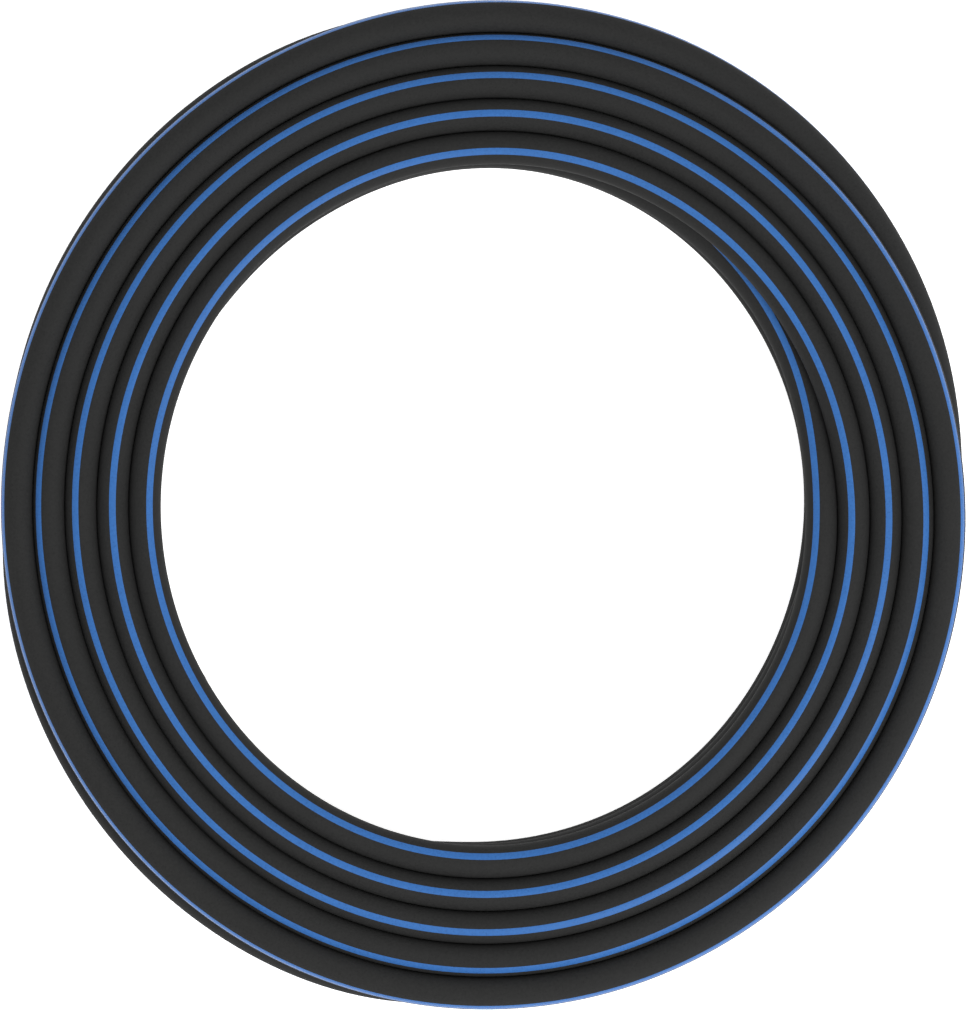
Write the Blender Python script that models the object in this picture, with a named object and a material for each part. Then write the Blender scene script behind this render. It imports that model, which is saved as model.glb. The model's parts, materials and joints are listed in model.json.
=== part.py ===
"""Soaker hose, wound in one flat oval coil, with its two end fittings.

Metres, +Z up.  The coil lies on z = 0 and the origin is the middle of its
underside.  The long way of the oval runs along +Y.  The hose lies in three
layers, five hose widths across.  The inlet fitting lies in the outer half of
the two lower layers at the front right, and the capped outlet lies in the
inner half of the two lower layers at the back left.

Angles are measured counter-clockwise from +X, seen from above.  "u" is the
distance of a point outwards from the coil's inner edge.
"""
import math

import bmesh
import bpy
from mathutils import Matrix, Vector

# ------------------------------------------------------------------ dimensions
HOSE_OD = 0.016            # porous hose, outside
BARB_HOLE_R = 0.0069       # hose bore, stretched over the barbs
GAP = 0.0003               # clearance between touching pieces

COIL_WIDTH = 0.080         # five hose widths
COIL_HALF_X = 0.1617       # inner edge of the coil, half-axis across
COIL_HALF_Y = 0.1689       # inner edge of the coil, half-axis along
GROWTH_X = 1.000           # how the oval grows with u
GROWTH_Y = 1.026
COIL_TILT = math.radians(1.85)
LAYER_SPLIT = 0.032        # top of the second layer
COIL_HEIGHT = 0.048        # three layers
COIL_STEPS = 72

INLET_MID_ANGLE = math.radians(-43.7)   # middle of the inlet fitting
INLET_MID_U = 0.0639
OUTLET_MID_ANGLE = math.radians(207.65)  # middle of the outlet fitting
OUTLET_MID_U = 0.0163
FITTING_Z = 0.016          # both fittings lie in the middle of the lower layers

INLET_POCKET = (math.radians(-57.0), math.radians(-20.0))
INLET_POCKET_U = 0.0479
OUTLET_POCKET = (math.radians(186.0), math.radians(228.0))
OUTLET_POCKET_U = 0.0355

BORE_R = 0.0045            # water way through both stems
BARB_R = 0.0066
BARB_ROOT_R = 0.0061
BARB_PITCH = 0.0045
BARB_START = 0.0022
NECK_R = 0.0072
HOSE_END = 0.0220          # the hose ends here, measured from the ferrule's foot

FERRULE_R = 0.0093
FERRULE_BORE_R = 0.0083
FERRULE_LIP_R = 0.0075
FERRULE_LENGTH = 0.0238

NUT_R = 0.01525
NUT_RIB_DEPTH = 0.0008
NUT_BACK = 0.0249
NUT_WALL = 0.0030
NUT_MOUTH = 0.0445
NUT_HOLE_R = 0.0076
NUT_THREAD_R = 0.0121      # minor radius of a female G 3/4 thread
HEAD_R = 0.0116
HEAD_BACK = 0.0283
HEAD_FACE = 0.0308
RESTRICTOR_R = 0.0117
RESTRICTOR_HOLE_R = 0.0015
RESTRICTOR = (0.0311, 0.0321)
WASHER_R = 0.0118
WASHER_HOLE_R = 0.0070
WASHER = (0.0324, 0.0352)

HEX_ACROSS_FLATS = 0.0230
HEX = (0.0241, 0.0291)
SPIGOT_R = 0.0131          # male G 3/4 thread
SPIGOT_RELIEF_R = 0.0117
SPIGOT = (0.0306, 0.0421)
CAP_R = 0.01525
CAP_BORE_R = 0.0135
CAP = (0.0314, 0.0472)
CAP_WALL = 0.0025
CAP_WASHER = (0.0424, 0.0444)
CAP_WASHER_R = 0.0129
CAP_WASHER_HOLE_R = 0.0070

TURN_STEPS = 32

# ------------------------------------------------------------------- start
for old in list(bpy.data.objects):
    bpy.data.objects.remove(old, do_unlink=True)
scene_collection = bpy.context.scene.collection


def material(name, colour, roughness, metallic=0.0):
    mat = bpy.data.materials.new(name)
    mat.use_nodes = True
    shader = mat.node_tree.nodes["Principled BSDF"]
    shader.inputs["Base Color"].default_value = (*colour, 1.0)
    shader.inputs["Roughness"].default_value = roughness
    shader.inputs["Metallic"].default_value = metallic
    return mat


def add_object(name, mesh, mat=None, parent=None):
    obj = bpy.data.objects.new(name, mesh)
    scene_collection.objects.link(obj)
    if mat is not None:
        mesh.materials.append(mat)
    if parent is not None:
        obj.parent = parent
    return obj


def finish_mesh(name, bm, smooth_angle=40.0):
    bmesh.ops.remove_doubles(bm, verts=bm.verts, dist=1e-7)
    bmesh.ops.recalc_face_normals(bm, faces=bm.faces)
    if bm.calc_volume(signed=True) < 0.0:
        bmesh.ops.reverse_faces(bm, faces=bm.faces)
    mesh = bpy.data.meshes.new(name)
    bm.to_mesh(mesh)
    bm.free()
    mesh.shade_smooth()
    mesh.set_sharp_from_angle(angle=math.radians(smooth_angle))
    return mesh


# ------------------------------------------------------------------- the oval
def oval_point(angle, u, z):
    """A point at this angle and distance from the coil's inner edge."""
    a = COIL_HALF_X + GROWTH_X * u
    b = COIL_HALF_Y + GROWTH_Y * u
    turned = angle - COIL_TILT
    r = a * b / math.hypot(b * math.cos(turned), a * math.sin(turned))
    return Vector((r * math.cos(angle), r * math.sin(angle), z))


def oval_tangent(angle, u):
    step = math.radians(0.25)
    return (oval_point(angle + step, u, 0.0) - oval_point(angle - step, u, 0.0)).normalized()


def oval_sweep(name, section, start=0.0, end=2.0 * math.pi, steps=COIL_STEPS):
    """Sweep a closed (u, z) section round the oval, whole or as a capped arc."""
    whole = abs(end - start - 2.0 * math.pi) < 1e-9
    bm = bmesh.new()
    stations = steps if whole else steps + 1
    rings = []
    for i in range(stations):
        angle = start + (end - start) * i / steps
        rings.append([bm.verts.new(oval_point(angle, u, z)) for u, z in section])
    count = len(section)
    for i in range(steps):
        here, there = rings[i], rings[(i + 1) % stations]
        for j in range(count):
            k = (j + 1) % count
            bm.faces.new((here[j], here[k], there[k], there[j]))
    if not whole:
        bm.faces.new(rings[0])
        bm.faces.new(list(reversed(rings[-1])))
    return finish_mesh(name, bm)


def rounded_section(u0, u1, z0, z1, radius, steps):
    """A rectangle in (u, z) with round corners."""
    points = []
    for cu, cz, first in ((u1 - radius, z0 + radius, -90.0), (u1 - radius, z1 - radius, 0.0),
                          (u0 + radius, z1 - radius, 90.0), (u0 + radius, z0 + radius, 180.0)):
        for i in range(steps + 1):
            a = math.radians(first + 90.0 * i / steps)
            points.append((cu + radius * math.cos(a), cz + radius * math.sin(a)))
    return points


# ------------------------------------------------------------------- turned parts
def turned(name, profile, steps=TURN_STEPS, shape=None):
    """Spin a closed (height, radius) profile about the local Z axis."""
    bm = bmesh.new()
    loop = [bm.verts.new((radius, 0.0, height)) for height, radius in profile]
    edges = [bm.edges.new((loop[i], loop[(i + 1) % len(loop)])) for i in range(len(loop))]
    bmesh.ops.spin(bm, geom=loop + edges, cent=(0, 0, 0), axis=(0, 0, 1),
                   angle=2.0 * math.pi, steps=steps, use_merge=True)
    bmesh.ops.remove_doubles(bm, verts=bm.verts, dist=1e-6)
    if shape is not None:
        for vert in bm.verts:
            radius = math.hypot(vert.co.x, vert.co.y)
            if radius > 1e-6:
                factor = shape(math.atan2(vert.co.y, vert.co.x), radius, vert.co.z) / radius
                vert.co.x *= factor
                vert.co.y *= factor
    return finish_mesh(name, bm)


def ribbed(outer, low, high, ribs, depth):
    """Grip ribs: alternate pairs of outer columns step in by the rib depth."""
    def shape(angle, radius, height):
        if radius < outer - 1e-5 or not low < height < high:
            return radius
        phase = (angle / (2.0 * math.pi) * ribs) % 1.0
        return radius if phase < 0.499 or phase > 0.999 else radius - depth
    return shape


def barbs():
    """The barbed tail's outer profile, from the hose towards the neck."""
    points = [(BARB_START, BARB_ROOT_R - 0.0006)]
    for i in range(4):
        foot = BARB_START + 0.0006 + i * BARB_PITCH
        points.append((foot, BARB_ROOT_R))
        points.append((foot + BARB_PITCH - 0.0007, BARB_R))
    points.append((HOSE_END + GAP, BARB_ROOT_R))
    return points


def fitting_frame(name, mid_angle, mid_u, half_length, outward):
    """An empty at the ferrule's foot, its Z axis pointing out of the fitting.

    The fitting is straight and lies as a chord of the coil, so its middle is
    nearest the coil's inner edge."""
    middle = oval_point(mid_angle, mid_u, FITTING_Z)
    axis = oval_tangent(mid_angle, mid_u) * outward
    side = Vector((0, 0, 1)).cross(axis)
    rotation = Matrix((side, Vector((0, 0, 1)), side.cross(Vector((0, 0, 1))))).transposed()
    frame = bpy.data.objects.new(name, None)
    scene_collection.objects.link(frame)
    frame.matrix_world = Matrix.Translation(middle - axis * half_length) @ rotation.to_4x4()
    return frame, middle - axis * half_length, axis


# ------------------------------------------------------------------- materials
rubber = material("porous_rubber", (0.034, 0.034, 0.033), 0.82)
seal_rubber = material("seal_rubber", (0.020, 0.020, 0.022), 0.60)
black_plastic = material("black_plastic", (0.025, 0.026, 0.028), 0.42)
disc_plastic = material("disc_plastic", (0.62, 0.62, 0.58), 0.45)
brass = material("brass", (0.72, 0.52, 0.24), 0.32, 1.0)
aluminium = material("aluminium", (0.75, 0.76, 0.77), 0.35, 1.0)

# ------------------------------------------------------------------- the coil
top_section = rounded_section(0.0, COIL_WIDTH, LAYER_SPLIT + GAP / 2, COIL_HEIGHT, 0.0075, 2)
add_object("hose_coil_top", oval_sweep("hose_coil_top", top_section), rubber)

lower_section = rounded_section(0.0, COIL_WIDTH, 0.0, LAYER_SPLIT - GAP / 2, 0.0060, 2)
lower_coil = add_object("hose_coil_lower", oval_sweep("hose_coil_lower", lower_section), rubber)


def pocket(name, u0, u1, span):
    """The room left in the two lower layers for a fitting."""
    section = [(u0, -0.010), (u1, -0.010), (u1, 0.040), (u0, 0.040)]
    cutter = add_object(name, oval_sweep(name, section, span[0], span[1], 8))
    cutter.hide_render = True
    cutter.display_type = 'WIRE'
    cut = lower_coil.modifiers.new(name, 'BOOLEAN')
    cut.operation = 'DIFFERENCE'
    cut.solver = 'EXACT'
    cut.object = cutter


pocket("inlet_pocket_cutter", INLET_POCKET_U, COIL_WIDTH + 0.015, INLET_POCKET)
pocket("outlet_pocket_cutter", -0.015, OUTLET_POCKET_U, OUTLET_POCKET)

# ------------------------------------------------------------------- fitting axes
inlet_frame, inlet_foot, inlet_axis = fitting_frame(
    "inlet_axis", INLET_MID_ANGLE, INLET_MID_U, NUT_MOUTH / 2, -1.0)
outlet_frame, outlet_foot, outlet_axis = fitting_frame(
    "outlet_axis", OUTLET_MID_ANGLE, OUTLET_MID_U, CAP[1] / 2, 1.0)


# ------------------------------------------------------------------- hose tails
def hose_tail(name, foot, axis, far_angle, far_u, away):
    """The hose from inside its ferrule to where it joins the coil's layers."""
    end_point = oval_point(far_angle, far_u, FITTING_Z)
    end_way = oval_tangent(far_angle, far_u) * away
    end_point = end_point - end_way * (GAP + 0.0002)
    inside = foot + axis * HOSE_END
    reach = (end_point - foot).length
    points = [inside + (foot - inside) * (i / 4) for i in range(4)]
    steps = 16
    for i in range(steps + 1):
        t = i / steps
        points.append((2 * t ** 3 - 3 * t ** 2 + 1) * foot + (t ** 3 - 2 * t ** 2 + t) * reach * -axis
                      + (3 * t ** 2 - 2 * t ** 3) * end_point + (t ** 3 - t ** 2) * reach * end_way)
    curve = bpy.data.curves.new(name + "_path", 'CURVE')
    curve.dimensions = '3D'
    curve.bevel_depth = HOSE_OD / 2
    curve.bevel_resolution = 3
    curve.use_fill_caps = True
    spline = curve.splines.new('POLY')
    spline.points.add(len(points) - 1)
    for slot, point in zip(spline.points, points):
        slot.co = (*point, 1.0)
    guide = bpy.data.objects.new(name + "_path", curve)
    scene_collection.objects.link(guide)
    bpy.context.view_layer.update()
    solid = bpy.data.meshes.new_from_object(guide.evaluated_get(bpy.context.evaluated_depsgraph_get()))
    bpy.data.objects.remove(guide, do_unlink=True)
    bm = bmesh.new()
    bm.from_mesh(solid)
    bpy.data.meshes.remove(solid)
    tail = add_object(name, finish_mesh(name, bm), rubber)
    hole = turned(name + "_bore_cutter", [(0.0012, 0.0), (0.0012, BARB_HOLE_R),
                                          (HOSE_END + 0.004, BARB_HOLE_R), (HOSE_END + 0.004, 0.0)], 24)
    cutter = add_object(name + "_bore_cutter", hole)
    cutter.matrix_world = (inlet_frame if axis is inlet_axis else outlet_frame).matrix_world
    cutter.hide_render = True
    cutter.display_type = 'WIRE'
    cut = tail.modifiers.new("barb_hole", 'BOOLEAN')
    cut.operation = 'DIFFERENCE'
    cut.solver = 'EXACT'
    cut.object = cutter
    return tail


hose_tail("hose_inlet_tail", inlet_foot, inlet_axis, INLET_POCKET[1], 0.0672, 1.0)
hose_tail("hose_outlet_tail", outlet_foot, outlet_axis, OUTLET_POCKET[0], 0.0178, -1.0)


# ------------------------------------------------------------------- ferrules
def ferrule(name, parent):
    profile = [(0.0, FERRULE_BORE_R + 0.0002), (0.0005, FERRULE_R), (FERRULE_LENGTH - 0.0008, FERRULE_R),
               (FERRULE_LENGTH, FERRULE_R - 0.0008), (FERRULE_LENGTH, FERRULE_LIP_R),
               (HOSE_END + GAP, FERRULE_LIP_R), (HOSE_END + GAP, FERRULE_BORE_R),
               (0.0, FERRULE_BORE_R)]
    add_object(name, turned(name, profile), aluminium, parent)


ferrule("inlet_ferrule", inlet_frame)
ferrule("outlet_ferrule", outlet_frame)

# ------------------------------------------------------------------- inlet
inlet_stem = ([(BARB_START, BORE_R)] + barbs()
              + [(HOSE_END + GAP, NECK_R), (HEAD_BACK, NECK_R), (HEAD_BACK, HEAD_R),
                 (HEAD_FACE, HEAD_R), (HEAD_FACE, BORE_R)])
add_object("inlet_stem", turned("inlet_stem", inlet_stem), brass, inlet_frame)

nut_profile = [(NUT_BACK, NUT_HOLE_R), (NUT_BACK, NUT_R - 0.0020), (NUT_BACK + 0.0014, NUT_R),
               (NUT_MOUTH - 0.0012, NUT_R), (NUT_MOUTH, NUT_R - 0.0009),
               (NUT_MOUTH, NUT_THREAD_R + 0.0008), (NUT_MOUTH - 0.0008, NUT_THREAD_R),
               (NUT_BACK + NUT_WALL, NUT_THREAD_R), (NUT_BACK + NUT_WALL, NUT_HOLE_R)]
add_object("inlet_swivel_nut",
           turned("inlet_swivel_nut", nut_profile,
                  shape=ribbed(NUT_R, NUT_BACK + 0.0001, NUT_MOUTH - 0.0001, 8, NUT_RIB_DEPTH)),
           black_plastic, inlet_frame)

add_object("flow_restrictor_disc",
           turned("flow_restrictor_disc", [(RESTRICTOR[0], RESTRICTOR_HOLE_R), (RESTRICTOR[0], RESTRICTOR_R),
                                           (RESTRICTOR[1], RESTRICTOR_R), (RESTRICTOR[1], RESTRICTOR_HOLE_R)]),
           disc_plastic, inlet_frame)
add_object("inlet_washer",
           turned("inlet_washer", [(WASHER[0], WASHER_HOLE_R), (WASHER[0], WASHER_R),
                                   (WASHER[1], WASHER_R), (WASHER[1], WASHER_HOLE_R)]),
           seal_rubber, inlet_frame)


# ------------------------------------------------------------------- outlet
def hexagon(angle, radius, height):
    if not HEX[0] - 1e-5 < height < HEX[1] + 1e-5 or radius < SPIGOT_RELIEF_R + 0.0001:
        return radius
    sixth = math.pi / 3.0
    off = (angle + sixth / 2) % sixth - sixth / 2
    flat = HEX_ACROSS_FLATS / 2
    return min(flat / math.cos(off), flat * 1.13)


outlet_stem = ([(BARB_START, BORE_R)] + barbs()
               + [(HOSE_END + GAP, NECK_R), (HEX[0], NECK_R), (HEX[0], 0.0125), (HEX[1], 0.0125),
                  (HEX[1], SPIGOT_RELIEF_R - 0.0005), (SPIGOT[0], SPIGOT_RELIEF_R - 0.0005),
                  (SPIGOT[0] + 0.0008, SPIGOT_R), (SPIGOT[1] - 0.0010, SPIGOT_R),
                  (SPIGOT[1], SPIGOT_R - 0.0010), (SPIGOT[1], BORE_R)])
add_object("outlet_stem", turned("outlet_stem", outlet_stem, 36, hexagon), brass, outlet_frame)

add_object("end_cap_washer",
           turned("end_cap_washer", [(CAP_WASHER[0], CAP_WASHER_HOLE_R), (CAP_WASHER[0], CAP_WASHER_R),
                                     (CAP_WASHER[1], CAP_WASHER_R), (CAP_WASHER[1], CAP_WASHER_HOLE_R)]),
           seal_rubber, outlet_frame)

cap_profile = [(CAP[0], CAP_BORE_R), (CAP[0], CAP_R - 0.0006), (CAP[0] + 0.0008, CAP_R),
               (CAP[1] - 0.0014, CAP_R), (CAP[1], CAP_R - 0.0020), (CAP[1], 0.0),
               (CAP[1] - CAP_WALL, 0.0), (CAP[1] - CAP_WALL, CAP_BORE_R)]
add_object("end_cap",
           turned("end_cap", cap_profile,
                  shape=ribbed(CAP_R, CAP[0] + 0.0001, CAP[1] - 0.0001, 8, NUT_RIB_DEPTH)),
           black_plastic, outlet_frame)

bpy.context.view_layer.update()
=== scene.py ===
"""The looks of the coiled soaker hose and its two end fittings.

Metres, +Z up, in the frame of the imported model.  The hose is one tube that
follows its whole route: out of the inlet ferrule, up on to the top layer, five
turns inwards there, down to the middle layer, three turns outwards, down to
the bottom layer, three turns inwards, and into the outlet ferrule.
"""
import json
import math

import bmesh
import bpy
import numpy as np
from mathutils import Matrix, Vector

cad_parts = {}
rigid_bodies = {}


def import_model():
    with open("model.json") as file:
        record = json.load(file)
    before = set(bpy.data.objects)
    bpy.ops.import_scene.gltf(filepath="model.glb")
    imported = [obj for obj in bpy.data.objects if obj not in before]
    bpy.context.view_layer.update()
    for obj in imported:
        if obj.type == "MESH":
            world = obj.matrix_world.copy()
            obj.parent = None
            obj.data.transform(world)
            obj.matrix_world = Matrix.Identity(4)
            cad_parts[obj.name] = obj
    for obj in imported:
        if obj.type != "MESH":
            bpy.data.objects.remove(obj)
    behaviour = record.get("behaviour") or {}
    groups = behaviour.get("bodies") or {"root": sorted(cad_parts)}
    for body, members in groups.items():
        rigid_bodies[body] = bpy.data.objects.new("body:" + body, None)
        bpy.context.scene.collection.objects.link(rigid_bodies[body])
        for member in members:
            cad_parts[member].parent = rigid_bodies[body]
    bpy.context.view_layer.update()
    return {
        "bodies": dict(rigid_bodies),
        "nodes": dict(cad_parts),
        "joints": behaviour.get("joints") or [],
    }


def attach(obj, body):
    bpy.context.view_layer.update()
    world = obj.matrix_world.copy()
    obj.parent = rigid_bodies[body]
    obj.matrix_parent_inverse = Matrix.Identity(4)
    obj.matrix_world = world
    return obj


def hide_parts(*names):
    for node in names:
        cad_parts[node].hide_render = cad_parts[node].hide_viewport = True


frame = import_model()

own = set(frame["nodes"].values()) | set(frame["bodies"].values())
for old in list(bpy.data.objects):
    if old not in own:
        bpy.data.objects.remove(old, do_unlink=True)
scene = bpy.context.scene
collection = scene.collection

# ------------------------------------------------------------------ dimensions
HOSE_R = 0.0080            # half of a 16 mm hose
HOSE_SQUASH = 0.0002       # how much wider it lies at the long ends of the oval
BARB_HOLE_R = 0.0069
TOP_Z = 0.040              # height of the hose's centre in the top layer
HALF_X, HALF_Y = 0.1617, 0.1689   # the oval of the coil's inner edge
GROW_X, GROW_Y = 1.000, 1.026
TILT = math.radians(1.85)

# fitting lengths, measured from each ferrule's foot along the fitting's axis
NUT_MOUTH = 0.0445
HOSE_END = 0.0220

joints = {j["name"]: j for j in frame["joints"]}
inlet_way = Vector(joints["inlet_nut_swivel"]["axis"]).normalized()
inlet_foot = Vector(joints["inlet_nut_swivel"]["pos_m"]) - inlet_way * NUT_MOUTH
outlet_way = Vector(joints["end_cap_turn"]["axis"]).normalized()
outlet_foot = Vector(joints["end_cap_turn"]["pos_m"]) - outlet_way * 0.0400

# ------------------------------------------------------------------ camera
# Straight down over the coil's middle, with a long lens; up in the view is +Y.
VIEW_WIDTH = 0.4835        # width of the view at the height of the top layer
VIEW_DISTANCE = 2.5
camera_data = bpy.data.cameras.new("Camera")
camera_data.sensor_fit = 'HORIZONTAL'
camera_data.sensor_width = 36.0
camera_data.lens = 36.0 * VIEW_DISTANCE / VIEW_WIDTH
camera_data.clip_start = 0.05
camera_data.clip_end = 50.0
camera = bpy.data.objects.new("Camera", camera_data)
collection.objects.link(camera)
camera.location = (-0.0004, 0.0013, TOP_Z + VIEW_DISTANCE)
camera.rotation_euler = (0.0, 0.0, 0.0)
scene.camera = camera


# ------------------------------------------------------------------ the route
def radius(angle, u):
    """Distance from the coil's middle to a point u outside its inner edge."""
    a = HALF_X + GROW_X * u
    b = HALF_Y + GROW_Y * u
    turned = angle - TILT
    return a * b / np.hypot(b * np.cos(turned), a * np.sin(turned))


def smoothstep(t):
    t = np.clip(t, 0.0, 1.0)
    return t * t * (3.0 - 2.0 * t)


def top_layer_u(turn_angle):
    """In the top layer each turn steps in by one hose over the upper right."""
    turn = np.floor((turn_angle + 25.0) / 360.0)
    within = turn_angle - 360.0 * turn
    return 0.088 - 0.016 * (turn + smoothstep((within + 25.0) / 155.0))


def monotone(x, y, at):
    """Monotone cubic interpolation through (x, y)."""
    h = np.diff(x)
    d = np.diff(y) / h
    m = np.zeros_like(y)
    for i in range(1, len(x) - 1):
        if d[i - 1] * d[i] > 0.0:
            w1, w2 = 2.0 * h[i] + h[i - 1], h[i] + 2.0 * h[i - 1]
            m[i] = (w1 + w2) / (w1 / d[i - 1] + w2 / d[i])
    m[0], m[-1] = d[0], d[-1]
    i = np.clip(np.searchsorted(x, at, side="right") - 1, 0, len(h) - 1)
    t = (at - x[i]) / h[i]
    return ((2 * t**3 - 3 * t**2 + 1) * y[i] + (t**3 - 2 * t**2 + t) * h[i] * m[i]
            + (3 * t**2 - 2 * t**3) * y[i + 1] + (t**3 - t**2) * h[i] * m[i + 1])


def eased(values, half_window):
    """A running mean, twice, that keeps the ends where they are."""
    kernel = np.ones(2 * half_window + 1) / (2 * half_window + 1)
    for _ in range(2):
        padded = np.concatenate([2 * values[0] - values[half_window:0:-1], values,
                                 2 * values[-1] - values[-2:-half_window - 2:-1]])
        values = np.convolve(padded, kernel, "valid")
    return values


# (turn, angle, mm out from the coil's inner edge, mm above the ground)
RISE = [  # from the inlet ferrule up on to the top layer, where it becomes the outermost turn
    (0, -38, 65.0, 16.0), (0, -30, 65.9, 16.0), (0, -20, 67.0, 17.0), (0, -10, 68.4, 19.2),
    (0, 0, 70.4, 22.0), (0, 10, 73.0, 24.2), (0, 20, 75.6, 25.2), (0, 30, 77.2, 26.6),
    (0, 40, 78.0, 28.6), (0, 50, 78.3, 31.4), (0, 60, 78.0, 34.8), (0, 70, 77.0, 37.6),
    (0, 80, 75.8, 39.3), (0, 90, 74.7, 39.9)]
MIDDLE = [  # down under the innermost top turn, then outwards in the middle layer
    (5, 10, 7.5, 32.7), (5, 20, 9.2, 28.7), (5, 30, 10.6, 26.0), (5, 40, 11.0, 24.7),
    (5, 50, 10.8, 24.2), (5, 60, 10.5, 24.0), (5, 80, 10.6, 24.0), (5, 100, 9.7, 24.0),
    (5, 120, 8.8, 24.0), (5, 135, 11.5, 24.0), (5, 150, 19.8, 24.0), (5, 170, 33.5, 24.0),
    (5, 190, 42.6, 24.0), (5, 200, 43.7, 24.0), (5, 226, 43.7, 24.0), (5, 262, 8.8, 24.0),
    (5, 290, 7.2, 24.0), (5, 322, 7.1, 24.0), (5, 340, 7.5, 24.0), (5, 350, 9.5, 24.0),
    (6, 0, 15.5, 24.0), (6, 10, 21.4, 24.0), (6, 20, 24.8, 24.0), (6, 30, 26.6, 24.0),
    (6, 40, 27.4, 24.0), (6, 80, 27.6, 24.0), (6, 120, 28.0, 24.0), (6, 150, 37.7, 24.0),
    (6, 170, 50.5, 24.0), (6, 190, 59.0, 24.0), (6, 200, 59.9, 24.0), (6, 226, 59.9, 24.0),
    (6, 262, 42.0, 24.0), (6, 300, 23.6, 24.0), (6, 322, 23.4, 24.0), (6, 350, 27.4, 24.0),
    (7, 0, 32.0, 24.0), (7, 20, 41.0, 24.0), (7, 40, 43.9, 24.0), (7, 80, 44.5, 24.0),
    (7, 120, 46.0, 24.0), (7, 150, 54.7, 24.0), (7, 170, 66.8, 24.0), (7, 190, 75.2, 24.0),
    (7, 200, 76.6, 24.0), (7, 225, 77.8, 24.0), (7, 240, 77.4, 24.0), (7, 250, 76.7, 24.0),
    (7, 262, 73.4, 24.0), (7, 300, 40.2, 24.0), (7, 322, 39.6, 24.0), (7, 350, 44.6, 24.0),
    (8, 0, 49.2, 24.0), (8, 20, 57.6, 24.0), (8, 40, 60.6, 24.0), (8, 60, 62.2, 24.0),
    (8, 80, 67.2, 24.0), (8, 100, 73.8, 24.0), (8, 120, 75.8, 23.6)]
BOTTOM = [  # down at the coil's outer edge, then inwards in the bottom layer to the outlet
    (8, 150, 75.8, 15.5), (8, 170, 74.6, 9.6), (8, 185, 74.6, 8.0), (8, 200, 76.0, 8.0),
    (8, 225, 76.4, 8.0), (8, 250, 75.2, 8.0), (8, 262, 72.4, 8.0), (8, 300, 40.0, 8.0),
    (8, 322, 39.4, 8.0), (8, 340, 44.5, 8.0), (9, 0, 59.0, 8.0), (9, 15, 69.0, 8.0),
    (9, 30, 73.0, 8.0), (9, 80, 73.0, 8.0), (9, 100, 70.0, 8.0), (9, 140, 57.6, 8.0),
    (9, 185, 58.4, 8.0), (9, 200, 59.8, 8.0), (9, 226, 60.0, 8.0), (9, 262, 42.5, 8.0),
    (9, 300, 23.4, 8.0), (9, 322, 23.0, 8.0), (10, 0, 30.0, 8.0), (10, 40, 36.0, 8.0),
    (10, 80, 38.0, 8.0), (10, 150, 40.2, 8.0), (10, 185, 42.2, 8.0), (10, 200, 43.7, 8.0),
    (10, 226, 43.7, 8.0), (10, 262, 9.2, 8.0), (10, 290, 6.9, 8.0), (10, 322, 6.5, 8.0),
    (10, 340, 7.0, 8.0), (11, 0, 8.2, 8.0), (11, 20, 9.4, 8.0), (11, 40, 10.2, 8.0),
    (11, 60, 10.9, 8.0), (11, 80, 11.3, 8.0), (11, 100, 10.2, 8.0), (11, 120, 8.8, 8.0),
    (11, 138, 9.2, 8.0), (11, 150, 11.2, 8.4), (11, 160, 14.2, 9.6), (11, 170, 17.4, 11.6),
    (11, 180, 20.2, 13.8), (11, 187, 21.4, 15.2), (11, 194, 20.6, 15.9), (11, 200, 17.9, 16.0)]


def hose_route():
    """The hose's centreline, and each point's angle from the start, in degrees."""
    first = math.degrees(math.atan2(inlet_foot.y, inlet_foot.x))
    last = 11 * 360.0 + math.degrees(math.atan2(outlet_foot.y, outlet_foot.x)) % 360.0
    count = int(round((last - first) / 1.5))
    angle = np.linspace(first, last, 3 * count + 1)
    points = [(360.0 * turn + at, u, z) for turn, at, u, z in RISE]
    points += [(float(a), float(top_layer_u(np.float64(a))) * 1e3, 40.0) for a in range(100, 1790, 20)]
    points += [(1795.0, float(top_layer_u(np.float64(1795.0))) * 1e3, 39.8), (1800.0, 6.8, 38.5)]
    points += [(360.0 * turn + at, u, z) for turn, at, u, z in MIDDLE + BOTTOM]
    points = np.array(points)
    u = monotone(points[:, 0], points[:, 1], angle) * 1e-3
    z = monotone(points[:, 0], points[:, 2], angle) * 1e-3
    u, z = eased(u, 10), eased(z, 10)
    u = np.where((angle > 115.0) & (angle < 1785.0), top_layer_u(angle), u)
    u = eased(u, 4)
    turned = np.radians(np.mod(angle, 360.0))
    r = radius(turned, u)
    line = np.stack([r * np.cos(turned), r * np.sin(turned), z], 1)
    # Near each fitting the hose comes straight out of its ferrule and eases into the winding.
    for foot, way, ahead in ((inlet_foot, inlet_way, angle - first), (outlet_foot, outlet_way, last - angle)):
        foot, way = np.array(foot), np.array(way)
        near = ahead < 14.0
        run = np.radians(ahead[near]) * np.hypot(foot[0], foot[1])
        weight = smoothstep(ahead[near] / 14.0)[:, None]
        line[near] = (foot - way * run[:, None]) * (1.0 - weight) + line[near] * weight
    line, angle = line[::3], angle[::3]
    stretch = np.linspace(HOSE_END, 0.0, 6)[:-1]
    start = np.array(inlet_foot) + np.array(inlet_way) * stretch[:, None]
    end = np.array(outlet_foot) + np.array(outlet_way) * stretch[::-1, None]
    line = np.concatenate([start, line, end])
    angle = np.concatenate([np.full(5, first), angle, np.full(5, last)])
    return line, angle


route, route_angle = hose_route()
route_length = float(np.linalg.norm(np.diff(route, axis=0), axis=1).sum())
print(f"hose route {route_length:.3f} m, {len(route)} points")


# ------------------------------------------------------------------ materials
def new_material(name):
    mat = bpy.data.materials.new(name)
    mat.use_nodes = True
    nodes, links = mat.node_tree.nodes, mat.node_tree.links
    shader = nodes["Principled BSDF"]
    coords = nodes.new("ShaderNodeTexCoord")
    return mat, nodes, links, shader, coords


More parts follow.
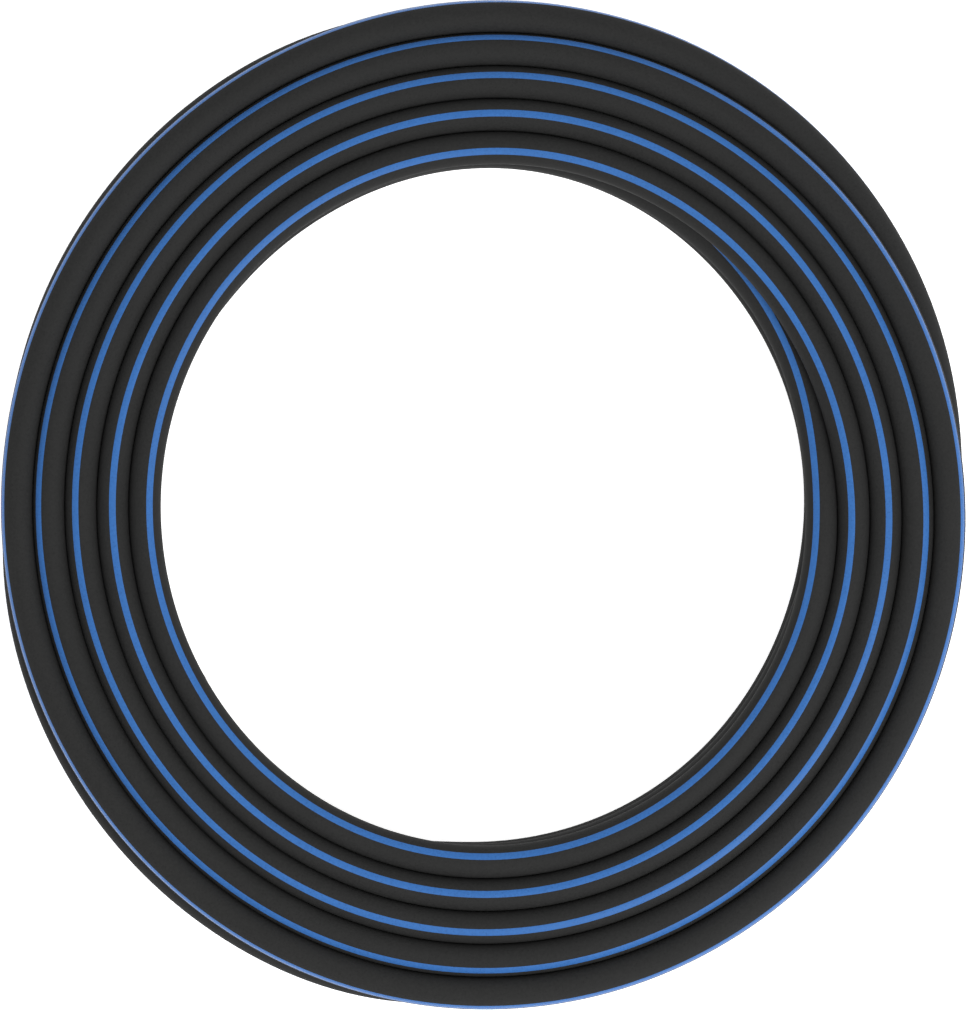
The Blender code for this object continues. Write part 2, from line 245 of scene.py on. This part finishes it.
def noise(nodes, links, vector, scale, detail=4.0, roughness=0.6):
    node = nodes.new("ShaderNodeTexNoise")
    node.inputs["Scale"].default_value = scale
    node.inputs["Detail"].default_value = detail
    node.inputs["Roughness"].default_value = roughness
    links.new(vector, node.inputs["Vector"])
    return node.outputs["Fac"]


def ramp(nodes, links, value, stops):
    node = nodes.new("ShaderNodeValToRGB")
    elements = node.color_ramp.elements
    while len(elements) < len(stops):
        elements.new(0.5)
    for element, (position, colour) in zip(elements, stops):
        element.position = position
        element.color = (*colour, 1.0) if len(colour) == 3 else colour
    links.new(value, node.inputs["Fac"])
    return node.outputs["Color"]


def remap(nodes, links, value, low, high, from_low=0.0, from_high=1.0):
    node = nodes.new("ShaderNodeMapRange")
    node.inputs["From Min"].default_value = from_low
    node.inputs["From Max"].default_value = from_high
    node.inputs["To Min"].default_value = low
    node.inputs["To Max"].default_value = high
    links.new(value, node.inputs["Value"])
    return node.outputs["Result"]


def math_node(nodes, links, operation, first, second):
    node = nodes.new("ShaderNodeMath")
    node.operation = operation
    for socket, value in zip(node.inputs, (first, second)):
        if isinstance(value, (int, float)):
            socket.default_value = value
        else:
            links.new(value, socket)
    return node.outputs["Value"]


def bumped(nodes, links, shader, height, strength, distance):
    node = nodes.new("ShaderNodeBump")
    node.inputs["Strength"].default_value = strength
    node.inputs["Distance"].default_value = distance
    links.new(height, node.inputs["Height"])
    links.new(node.outputs["Normal"], shader.inputs["Normal"])


def porous(name, dark, mid, light, mottling, roughness, gloss):
    """Extruded crumb rubber: fine grains and pores, and a slow mottle along the hose."""
    mat, nodes, links, shader, coords = new_material(name)
    place = coords.outputs["Object"]
    grain = noise(nodes, links, place, 1900.0, 3.0, 0.65)
    crumb = noise(nodes, links, place, 760.0, 3.0, 0.55)
    mottle = noise(nodes, links, place, 26.0, 3.0, 0.6)
    pores = nodes.new("ShaderNodeTexVoronoi")
    pores.feature = 'F1'
    pores.inputs["Scale"].default_value = 620.0
    pores.inputs["Randomness"].default_value = 1.0
    links.new(place, pores.inputs["Vector"])
    pit = remap(nodes, links, pores.outputs["Distance"], 0.0, 1.0, 0.05, 0.34)
    tone = math_node(nodes, links, 'ADD', math_node(nodes, links, 'MULTIPLY', crumb, 1.0 - mottling),
                     math_node(nodes, links, 'MULTIPLY', mottle, mottling))
    colour = ramp(nodes, links, tone, [(0.36, dark), (0.50, mid), (0.66, light)])
    shade = remap(nodes, links, pit, 0.80, 1.0)
    dimmed = nodes.new("ShaderNodeVectorMath")
    dimmed.operation = 'SCALE'
    links.new(colour, dimmed.inputs[0])
    links.new(shade, dimmed.inputs["Scale"])
    links.new(dimmed.outputs["Vector"], shader.inputs["Base Color"])
    links.new(remap(nodes, links, crumb, roughness - 0.08, roughness + 0.08, 0.3, 0.7), shader.inputs["Roughness"])
    shader.inputs["Specular IOR Level"].default_value = gloss
    height = math_node(nodes, links, 'ADD', math_node(nodes, links, 'MULTIPLY', pit, 0.6),
                       math_node(nodes, links, 'ADD', math_node(nodes, links, 'MULTIPLY', crumb, 0.9),
                                 math_node(nodes, links, 'MULTIPLY', grain, 0.35)))
    bumped(nodes, links, shader, height, 0.45, 0.00016)
    return mat


rubber = porous("porous_rubber", (0.0140, 0.0141, 0.0140), (0.0163, 0.0164, 0.0163), (0.0190, 0.0191, 0.0189),
                0.15, 0.78, 0.12)
stripe_blue = porous("stripe_blue", (0.0190, 0.093, 0.284), (0.0215, 0.102, 0.308), (0.0245, 0.112, 0.333),
                     0.30, 0.50, 0.20)
stripe_shader = stripe_blue.node_tree.nodes["Principled BSDF"]
stripe_shader.inputs["Sheen Weight"].default_value = 0.45
stripe_shader.inputs["Sheen Roughness"].default_value = 0.35


def moulded(name, colour, roughness, fine=0.12):
    """Moulded plastic: a faint spark-eroded texture, and soft random clouds that are a little lighter and rougher.
    """
    mat, nodes, links, shader, coords = new_material(name)
    place = coords.outputs["Object"]
    fine_grain = noise(nodes, links, place, 2600.0, 2.0, 0.6)
    cloud = noise(nodes, links, place, 110.0, 4.0, 0.6)
    low = tuple(c * 0.80 for c in colour)
    high = tuple(min(1.0, c * 1.35 + 0.004) for c in colour)
    links.new(ramp(nodes, links, cloud, [(0.3, low), (0.52, colour), (0.72, high)]), shader.inputs["Base Color"])
    links.new(remap(nodes, links, cloud, roughness - 0.07, roughness + 0.10, 0.3, 0.7), shader.inputs["Roughness"])
    bumped(nodes, links, shader, fine_grain, fine, 0.0001)
    return mat


def turned_metal(name, low, colour, high, roughness):
    """Turned metal: fine rings round the axis, dulled in clouds."""
    mat, nodes, links, shader, coords = new_material(name)
    spread = nodes.new("ShaderNodeMapping")
    spread.inputs["Scale"].default_value = (40.0, 40.0, 9000.0)
    links.new(coords.outputs["Object"], spread.inputs["Vector"])
    rings = noise(nodes, links, spread.outputs["Vector"], 1.0, 2.0, 0.5)
    cloud = noise(nodes, links, coords.outputs["Object"], 180.0, 5.0, 0.65)
    links.new(ramp(nodes, links, cloud, [(0.3, low), (0.5, colour), (0.7, high)]), shader.inputs["Base Color"])
    shader.inputs["Metallic"].default_value = 1.0
    links.new(remap(nodes, links, cloud, roughness + 0.12, roughness - 0.06, 0.3, 0.7), shader.inputs["Roughness"])
    bumped(nodes, links, shader, rings, 0.25, 0.00006)
    return mat


black_plastic = moulded("black_plastic", (0.014, 0.0145, 0.0155), 0.40)
seal_rubber = moulded("seal_rubber", (0.010, 0.010, 0.011), 0.62, 0.2)
disc_plastic = moulded("disc_plastic", (0.56, 0.56, 0.52), 0.42, 0.08)
brass = turned_metal("brass", (0.34, 0.22, 0.085), (0.54, 0.37, 0.145), (0.64, 0.46, 0.21), 0.30)
aluminium = turned_metal("aluminium", (0.30, 0.305, 0.31), (0.42, 0.425, 0.43), (0.52, 0.525, 0.53), 0.36)


# ------------------------------------------------------------------ the hose
# Where the blue stripe lies round the hose, in degrees: 0 on top, positive
# towards the outside of the coil.  The hose twists slowly as it is wound.
STRIPE_TWIST = np.array([
    (-40, 112), (20, 98), (60, 76), (80, 68), (100, 62), (130, 57.5), (160, 56.5), (200, 58), (240, 57.5),
    (280, 58), (320, 57), (345, 52), (360, 50.3), (390, 50), (415, 48), (440, 44.9), (470, 41.8), (500, 38.3),
    (530, 37), (590, 36.1), (650, 34.7), (680, 32.8), (700, 30.2), (720, 28), (770, 25.2), (800, 22.8), (860, 17.6),
    (920, 16.2), (1010, 13), (1040, 11.8), (1070, 8.6), (1130, 5.2), (1190, 1), (1220, -1.4),
    (1280, -2.6), (1370, -5.8), (1400, -7.4), (1430, -10.2), (1490, -13.6), (1580, -19.4),
    (1610, -20.4), (1670, -21.6), (1760, -23.2), (1795, -24), (1820, -15.5), (1840, -7.5), (1855, 3),
    (1880, 22), (1910, 38), (2000, 54), (2300, 70), (2600, 108), (2760, 114), (3000, 112), (3600, 95),
    (4200, 118)], float)
BACK_COLUMNS = 15          # columns on each side between the stripe and the hose's back
MAP_ROWS = 9               # the hose is unrolled in eight strips, and the ends in a ninth


def hose_mesh():
    """A round tube on the route, turned about itself so that its stripe keeps
    to the same columns, with a blind hole over each barbed tail."""
    sides = 2 * BACK_COLUMNS + 3
    twist = eased(monotone(STRIPE_TWIST[:, 0], STRIPE_TWIST[:, 1], route_angle), 6)
    # half of the stripe's width, a little narrower on the outermost turn and wider on the next
    half = (12.0 - 1.2 * smoothstep((280.0 - route_angle) / 90.0)
            + 0.9 * smoothstep((route_angle - 350.0) / 60.0) * smoothstep((680.0 - route_angle) / 120.0))
    back = np.arange(BACK_COLUMNS) / BACK_COLUMNS
    columns = np.concatenate([
        -180.0 + (180.0 - half[:, None]) * back,
        half[:, None] * np.array([-1.0, -1.0 / 3.0, 1.0 / 3.0]),
        half[:, None] + (180.0 - half[:, None]) * back], 1)
    around = np.radians(twist[:, None] + columns)
    way = np.gradient(route, axis=0)
    way /= np.linalg.norm(way, axis=1)[:, None]
    out = np.cross(way, np.array([0.0, 0.0, 1.0]))
    out /= np.linalg.norm(out, axis=1)[:, None]
    up = np.cross(out, way)
    in_fitting = np.minimum(np.arange(len(route)), np.arange(len(route))[::-1]) < 12
    wide = HOSE_R + np.where(in_fitting, 0.0, 0.00003 + HOSE_SQUASH * np.sin(np.radians(route_angle) - TILT) ** 2)
    upwards, outwards = np.cos(around)[..., None] * up[:, None, :], np.sin(around)[..., None] * out[:, None, :]
    shell = route[:, None, :] + HOSE_R * upwards + wide[:, None, None] * outwards
    hole = route[:, None, :] + BARB_HOLE_R * (upwards + outwards)
    verts = np.concatenate([hole[4::-1], shell, hole[:-6:-1]])
    count = len(verts)
    ring, column = np.meshgrid(np.arange(count - 1), np.arange(sides), indexing="ij")
    ring, column = ring.ravel(), column.ravel()
    rings = np.stack([ring, ring + 1, ring + 1, ring], 1)
    sides_of = np.stack([column, column, column + 1, column + 1], 1)
    quads = rings * sides + sides_of % sides
    # the map: strips along the hose, one above the other
    first, last = 5, 5 + len(route) - 1
    in_shell = (ring >= first) & (ring < last)
    per_strip = (last - first) / (MAP_ROWS - 1)
    strip = np.clip((ring - first) // per_strip, 0, MAP_ROWS - 2)
    along = (rings - first - (strip * per_strip)[:, None]) / per_strip
    along = 0.003 + 0.994 * np.clip(along, 0.0, 1.0)
    ends = np.where(rings <= first, rings * 0.02 + 0.02, (rings - last) * 0.02 + 0.22)
    map_x = np.where(in_shell[:, None], along, ends)
    row = np.where(in_shell, strip, MAP_ROWS - 1)[:, None]
    map_y = (row + 0.02 + 0.96 * sides_of / sides) / MAP_ROWS
    flat = verts.reshape(-1, 3)
    centre = flat[quads].mean(1)
    normal = np.cross(flat[quads[:, 1]] - flat[quads[:, 0]], flat[quads[:, 2]] - flat[quads[:, 0]])
    axis = np.concatenate([route[4::-1], route, route[:-6:-1]])
    outwards_of = centre - 0.5 * (axis[ring] + axis[ring + 1])
    sample = len(ring) // 2
    inside_out = (normal[sample] * outwards_of[sample]).sum() < 0.0
    if inside_out:
        quads, map_x, map_y = quads[:, ::-1], map_x[:, ::-1], map_y[:, ::-1]
    bottom_of_hole = np.arange(sides)
    caps = [bottom_of_hole if not inside_out else bottom_of_hole[::-1],
            (count - 1) * sides + (bottom_of_hole[::-1] if not inside_out else bottom_of_hole)]
    faces = quads.tolist() + [cap.tolist() for cap in caps]
    turn = 2.0 * math.pi * np.arange(sides) / sides
    cap_map = [np.stack([x + 0.04 * np.cos(turn), (MAP_ROWS - 0.5 + 0.3 * np.sin(turn)) / MAP_ROWS], 1)
               for x in (0.5, 0.7)]
    mesh = bpy.data.meshes.new("hose")
    mesh.from_pydata(flat.tolist(), [], faces)
    mesh.materials.append(rubber)
    mesh.materials.append(stripe_blue)
    on_stripe = in_shell & (column >= BACK_COLUMNS) & (column < BACK_COLUMNS + 3)
    mesh.polygons.foreach_set("material_index", np.concatenate([on_stripe.astype(int), [0, 0]]))
    layer = mesh.uv_layers.new(name="OFBake")
    layer.data.foreach_set("uv", np.concatenate(
        [np.stack([map_x, map_y], 2).reshape(-1, 2), *cap_map]).ravel())
    mesh.update()
    mesh.shade_smooth()
    mesh.set_sharp_from_angle(angle=math.radians(50.0))
    return mesh


hose = bpy.data.objects.new("soaker_hose", hose_mesh())
collection.objects.link(hose)
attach(hose, "root")
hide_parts("hose_coil_top", "hose_coil_lower", "hose_inlet_tail", "hose_outlet_tail")


# ------------------------------------------------------------------ fittings
def fitting_matrix(foot, way):
    side = Vector((0, 0, 1)).cross(way)
    rotation = Matrix((side, Vector((0, 0, 1)), way)).transposed()
    return Matrix.Translation(foot) @ rotation.to_4x4()


inlet_matrix = fitting_matrix(inlet_foot, inlet_way)
outlet_matrix = fitting_matrix(outlet_foot, outlet_way)


def rounded(profile, size, steps=3, keep=()):
    """Rounds the corners of a closed (height, radius) profile."""
    points = []
    count = len(profile)
    for i, corner in enumerate(profile):
        here = Vector(corner)
        before, after = Vector(profile[i - 1]) - here, Vector(profile[(i + 1) % count]) - here
        reach = min(size, before.length * 0.45, after.length * 0.45)
        if i in keep or corner[1] < 1e-6 or reach < 1e-6:
            points.append(tuple(corner))
            continue
        a, b = here + before.normalized() * reach, here + after.normalized() * reach
        for k in range(steps + 1):
            t = k / steps
            p = a * (1 - t) ** 2 + here * 2 * t * (1 - t) + b * t**2
            points.append(tuple(p))
    return points


def densified(profile, step):
    """Adds points along the long runs of a closed profile."""
    points = []
    count = len(profile)
    for i in range(count):
        a, b = Vector(profile[i]), Vector(profile[(i + 1) % count])
        cuts = max(1, int(math.ceil((b - a).length / step)))
        points += [tuple(a.lerp(b, k / cuts)) for k in range(cuts)]
    return points


def turned(name, profile, steps, mat, matrix, body, replaced, slot_name, shape=None, angle=35.0):
    """Turns a closed (height, radius) profile about the fitting's axis.  shape
    returns the radius at (angle, height, radius), for ribs, flats and threads."""
    bm = bmesh.new()
    rows = []
    for height, r in profile:
        if r < 1e-6:
            rows.append([bm.verts.new((0.0, 0.0, height))])
            continue
        row = []
        for i in range(steps):
            a = 2.0 * math.pi * i / steps
            rr = shape(a, height, r) if shape is not None else r
            row.append(bm.verts.new((rr * math.cos(a), rr * math.sin(a), height)))
        rows.append(row)
    for i, row in enumerate(rows):
        following = rows[(i + 1) % len(rows)]
        if len(row) == 1 and len(following) == 1:
            continue
        for j in range(steps):
            k = (j + 1) % steps
            corners = [row[j % len(row)], row[k % len(row)],
                       following[k % len(following)], following[j % len(following)]]
            unique = []
            for c in corners:
                if c not in unique:
                    unique.append(c)
            bm.faces.new(unique)
    bmesh.ops.recalc_face_normals(bm, faces=bm.faces)
    if bm.calc_volume(signed=True) < 0.0:
        bmesh.ops.reverse_faces(bm, faces=bm.faces)
    mesh = bpy.data.meshes.new(name)
    bm.to_mesh(mesh)
    bm.free()
    mesh.materials.append(mat)
    mesh.shade_smooth()
    mesh.set_sharp_from_angle(angle=math.radians(angle))
    obj = bpy.data.objects.new(name, mesh)
    collection.objects.link(obj)
    obj.matrix_world = matrix
    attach(obj, body)
    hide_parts(replaced)
    return obj


THREAD_PITCH = 0.001814
THREAD_DEPTH = 0.00112
THREAD_ROOT = 0.0120


def thread_wave(angle, height):
    """0 in the root and 1 on the crest of a right-hand G 3/4 thread."""
    t = (height / THREAD_PITCH - angle / (2.0 * math.pi)) % 1.0
    ridge = 1.0 - abs(2.0 * t - 1.0)
    ridge = min(1.0, max(0.0, (ridge - 0.12) / 0.76))
    return ridge * ridge * (3.0 - 2.0 * ridge)


def fade(height, low, high):
    return max(0.0, min(1.0, (height - low) / THREAD_PITCH)) * max(0.0, min(1.0, (high - height) / THREAD_PITCH))


def grip_ribs(outer, low, high, ribs, depth):
    """Rounded grip ribs that run out before the ends."""
    def radius_at(angle, height):
        wave = 0.5 + 0.5 * math.cos(angle * ribs)
        wave = max(0.0, min(1.0, (wave - 0.22) / 0.42))
        wave = wave * wave * (3.0 - 2.0 * wave)
        run = max(0.0, min(1.0, (height - low) / 0.0016)) * max(0.0, min(1.0, (high - height) / 0.0016))
        run = run * run * (3.0 - 2.0 * run)
        return outer - depth * run * (1.0 - wave)
    return radius_at


def barbed_tail():
    points = [(0.0022, 0.0055)]
    for i in range(4):
        foot = 0.0028 + i * 0.0045
        points += [(foot, 0.0061), (foot + 0.0038, 0.0066)]
    return points + [(0.0223, 0.0061)]


# inlet: barbed stem with its head flange
stem = rounded([(0.0022, 0.0045)] + barbed_tail()
               + [(0.0223, 0.0072), (0.0283, 0.0072), (0.0283, 0.0116), (0.0308, 0.0116), (0.0308, 0.0045)],
               0.00025, 2)
inlet_stem = turned("inlet_stem_detail", stem, 64, brass, inlet_matrix, "root", "inlet_stem", "brass")


def crimped_ferrule(name, matrix, replaced):
    """A drawn sleeve with three crimp grooves, a rolled foot and a turned-in lip."""
    outside = []
    for i in range(61):
        h = 0.0006 + (0.0229 - 0.0006) * i / 60
        r = 0.0093
        for groove in (0.0060, 0.0115, 0.0170):
            d = abs(h - groove) / 0.0017
            if d < 1.0:
                r -= 0.00055 * 0.5 * (1.0 + math.cos(math.pi * d))
        outside.append((h, r))
    profile = ([(0.0, 0.0087), (0.0002, 0.0092)] + outside
               + [(0.0235, 0.0090), (0.0238, 0.0084), (0.0238, 0.00765), (0.0235, 0.0075),
                  (0.0226, 0.0075), (0.0223, 0.0077), (0.0223, 0.0082), (0.0020, 0.0082), (0.0004, 0.0084)])
    return turned(name, profile, 64, aluminium, matrix, "root", replaced, "aluminium", angle=50.0)


inlet_ferrule = crimped_ferrule("inlet_ferrule_detail", inlet_matrix, "inlet_ferrule")
outlet_ferrule = crimped_ferrule("outlet_ferrule_detail", outlet_matrix, "outlet_ferrule")

# inlet: swivel nut with grip ribs outside and a G 3/4 thread inside
nut_outside = grip_ribs(0.01525, 0.0262, 0.0418, 8, 0.0010)


def nut_shape(angle, height, r):
    if r > 0.0140:
        return min(r, nut_outside(angle, height))
    if 0.0118 < r < 0.01215 and height > 0.0285:
        return r + THREAD_DEPTH * thread_wave(angle, height) * fade(height, 0.0345, 0.0446)
    return r


nut_profile = rounded([(0.0249, 0.0076), (0.0249, 0.0133), (0.0263, 0.01525), (0.0433, 0.01525),
                       (0.0445, 0.0144), (0.0445, 0.0130), (0.0436, 0.0121), (0.0279, 0.0121),
                       (0.0279, 0.0076)], 0.0004, 3)
nut_profile = densified(nut_profile, 0.00016)
swivel_nut = turned("inlet_swivel_nut_detail", nut_profile, 96, black_plastic, inlet_matrix,
                    "inlet_nut", "inlet_swivel_nut", "black_plastic", shape=nut_shape, angle=55.0)

washer = rounded([(0.0324, 0.0070), (0.0324, 0.0118), (0.0352, 0.0118), (0.0352, 0.0070)], 0.0006, 4)
inlet_washer = turned("inlet_washer_detail", washer, 72, seal_rubber, inlet_matrix,
                      "inlet_nut", "inlet_washer", "seal_rubber")
disc = rounded([(0.0311, 0.0015), (0.0311, 0.0117), (0.0321, 0.0117), (0.0321, 0.0064), (0.0327, 0.0060),
                (0.0327, 0.0050), (0.0321, 0.0046), (0.0321, 0.0030), (0.0326, 0.0026), (0.0326, 0.0015)],
               0.00018, 2)
restrictor = turned("flow_restrictor_detail", disc, 72, disc_plastic, inlet_matrix,
                    "inlet_nut", "flow_restrictor_disc", "disc_plastic")


# outlet: barbed stem with a hexagon and a male G 3/4 spigot
def outlet_shape(angle, height, r):
    if 0.0240 < height < 0.0292 and r > 0.0116:
        sixth = math.pi / 3.0
        off = (angle + sixth / 2) % sixth - sixth / 2
        edge = min(height - 0.0241, 0.0291 - height)
        chamfer = 0.01245 + max(0.0, edge) * 1.7
        return min(0.0115 / math.cos(off), chamfer, 0.01305) if r > 0.01195 else r
    if 0.0298 < height < 0.0421 and r > 0.0117:
        wave = thread_wave(angle, height) * fade(height, 0.0300, 0.0430)
        crest = THREAD_ROOT + THREAD_DEPTH * wave
        return min(crest, r) if height > 0.0413 else crest
    return r


spigot = ([(0.0022, 0.0045)] + barbed_tail()
          + [(0.0223, 0.0072), (0.0241, 0.0072), (0.0241, 0.0110), (0.0241, 0.0120), (0.0244, 0.0125),
             (0.0250, 0.0130), (0.0282, 0.0130), (0.0288, 0.0125), (0.0291, 0.0120), (0.0291, 0.0110),
             (0.0296, 0.0110), (0.0299, 0.0120), (0.0413, 0.0120), (0.0421, 0.0118), (0.0421, 0.0045)])
spigot = densified(spigot, 0.00022)
outlet_stem = turned("outlet_stem_detail", spigot, 96, brass, outlet_matrix, "root", "outlet_stem", "brass",
                     shape=outlet_shape, angle=40.0)

# outlet: screw cap with its washer
cap_outside = grip_ribs(0.01525, 0.0324, 0.0458, 8, 0.0010)


def cap_shape(angle, height, r):
    if r > 0.0140 and height < 0.0465:
        return min(r, cap_outside(angle, height))
    if 0.0132 < r < 0.0134 and 0.0318 < height < 0.0425:
        return THREAD_ROOT + 0.0003 + THREAD_DEPTH * (
            1.0 - fade(height, 0.0314, 0.0425) * (1.0 - thread_wave(angle, height)))
    return r


cap_profile = rounded([(0.0314, 0.01345), (0.0314, 0.0146), (0.0322, 0.01525), (0.0458, 0.01525),
                       (0.0472, 0.0138), (0.0472, 0.0100), (0.0467, 0.0094), (0.0467, 0.0), (0.0447, 0.0),
                       (0.0447, 0.01333), (0.0318, 0.01333)], 0.0004, 3, keep=(6, 7, 8))
cap_profile = densified(cap_profile, 0.00018)
end_cap = turned("end_cap_detail", cap_profile, 96, black_plastic, outlet_matrix,
                 "end_cap", "end_cap", "black_plastic", shape=cap_shape, angle=55.0)
cap_washer = turned("end_cap_washer_detail",
                    rounded([(0.0424, 0.0070), (0.0424, 0.0129), (0.0444, 0.0129), (0.0444, 0.0070)], 0.0005, 4),
                    72, seal_rubber, outlet_matrix, "cap_seal", "end_cap_washer", "seal_rubber")

# ------------------------------------------------------------------ stage
floor_mesh = bpy.data.meshes.new("floor")
floor_mesh.from_pydata([(-6, -6, 0), (6, -6, 0), (6, 6, 0), (-6, 6, 0)], [], [(0, 1, 2, 3)])
floor = bpy.data.objects.new("floor", floor_mesh)
collection.objects.link(floor)
floor.location.z = -0.0002
floor_mat = bpy.data.materials.new("floor")
floor_mat.use_nodes = True
floor_shader = floor_mat.node_tree.nodes["Principled BSDF"]
floor_shader.inputs["Base Color"].default_value = (0.90, 0.90, 0.90, 1.0)
floor_shader.inputs["Emission Color"].default_value = (1.0, 1.0, 1.0, 1.0)
floor_shader.inputs["Emission Strength"].default_value = 0.62
floor_shader.inputs["Roughness"].default_value = 0.9
floor_shader.inputs["Specular IOR Level"].default_value = 0.0
floor_mesh.materials.append(floor_mat)

world = bpy.data.worlds.new("World")
scene.world = world
world.use_nodes = True
background = world.node_tree.nodes["Background"]
background.inputs["Color"].default_value = (1.0, 1.0, 1.0, 1.0)
background.inputs["Strength"].default_value = 1.0


def soft_light(name, location, target, size, energy):
    data = bpy.data.lights.new(name, 'AREA')
    data.shape = 'DISK'
    data.size = size
    data.energy = energy
    light = bpy.data.objects.new(name, data)
    collection.objects.link(light)
    light.location = location
    light.rotation_euler = (Vector(target) - Vector(location)).to_track_quat('-Z', 'Y').to_euler()
    return light


soft_light("key", (1.30, -1.52, 2.23), (0, 0, 0), 1.8, 66.0)

scene.view_settings.view_transform = 'Standard'
scene.view_settings.look = 'None'
scene.view_settings.exposure = 0.0
scene.view_settings.gamma = 1.0
